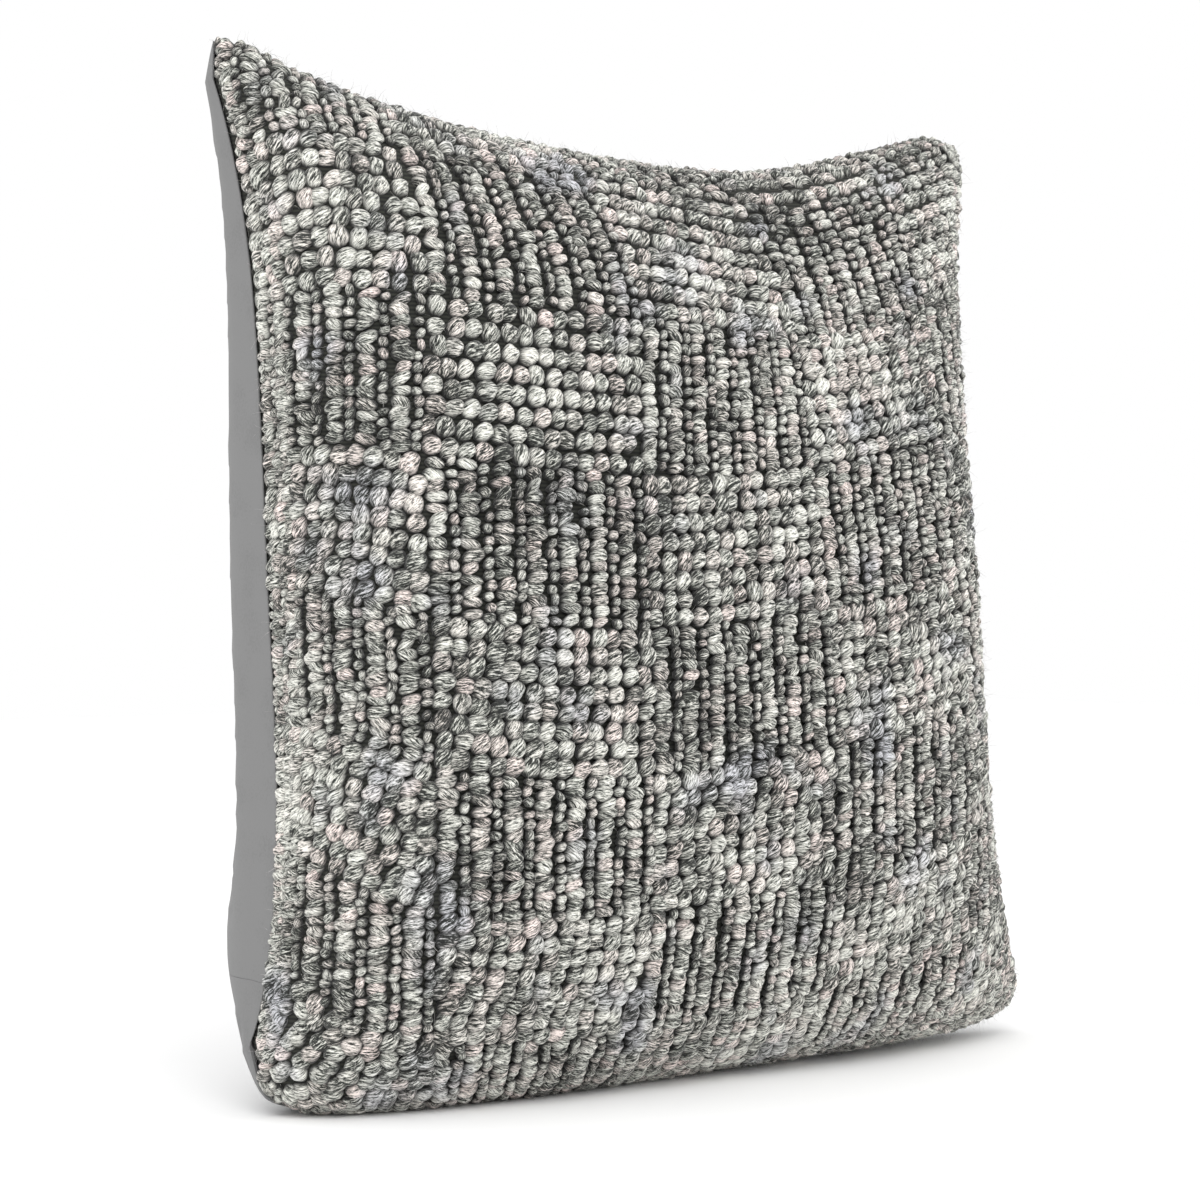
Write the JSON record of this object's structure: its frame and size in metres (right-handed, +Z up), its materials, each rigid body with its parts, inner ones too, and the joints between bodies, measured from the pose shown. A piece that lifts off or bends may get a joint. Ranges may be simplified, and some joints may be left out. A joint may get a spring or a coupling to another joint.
{
  "type": "throw pillow",
  "caption": "Square stuffed throw pillow with a chequered loop-pile front, a plain woven back and a zip across the lower back.",
  "frame": {"origin": "on the floor under the middle of the bounding box", "axes": "+Z up with the pillow standing on its bottom edge, the loop-pile front facing -Y, +X to the right seen from the front"},
  "size_m": [0.506, 0.1958, 0.5],
  "materials": {
    "loop_yarn": "matte",
    "ground_cloth": "matte",
    "back_cloth": "matte",
    "thread": "matte",
    "ticking": "matte",
    "ticking_thread": "matte",
    "fibre_fill": "matte",
    "zip_tape": "matte",
    "zip_teeth": "satin",
    "zip_metal": "satin",
    "label_cloth": "matte"
  },
  "bodies": {
    "cover": {"loop_pile": "loop_yarn", "front_ground_cloth": "ground_cloth", "back_panel_upper": "back_cloth", "back_panel_lower": "back_cloth", "seam_overlock": "thread", "insert_shell_front": "ticking", "insert_shell_back": "ticking", "insert_edge_seam": "ticking_thread", "insert_filling": "fibre_fill", "zip_tape_upper": "zip_tape", "zip_tape_lower": "zip_tape", "zip_teeth_upper": "zip_teeth", "zip_teeth_lower": "zip_teeth", "zip_bottom_stop": "zip_metal", "zip_top_stop_upper": "zip_metal", "zip_top_stop_lower": "zip_metal", "zip_topstitch_upper": "thread", "zip_topstitch_lower": "thread", "care_label": "label_cloth"},
    "slider": {"zip_slider": "zip_metal"},
    "pull": {"zip_pull": "zip_metal"}
  },
  "joints": [
    {"name": "slider_travel", "type": "hinge", "parent": "cover", "child": "slider", "pos_m": [0, -1.0671, 0.062], "axis": [0, 0, 1], "range_deg": [0, 14.6]},
    {"name": "pull_swing", "type": "hinge", "parent": "slider", "child": "pull", "pos_m": [0.14627, 0.06996, 0.06129], "axis": [-0.0411, -0.3193, -0.9468], "range_deg": [0, 172]}
  ]
}
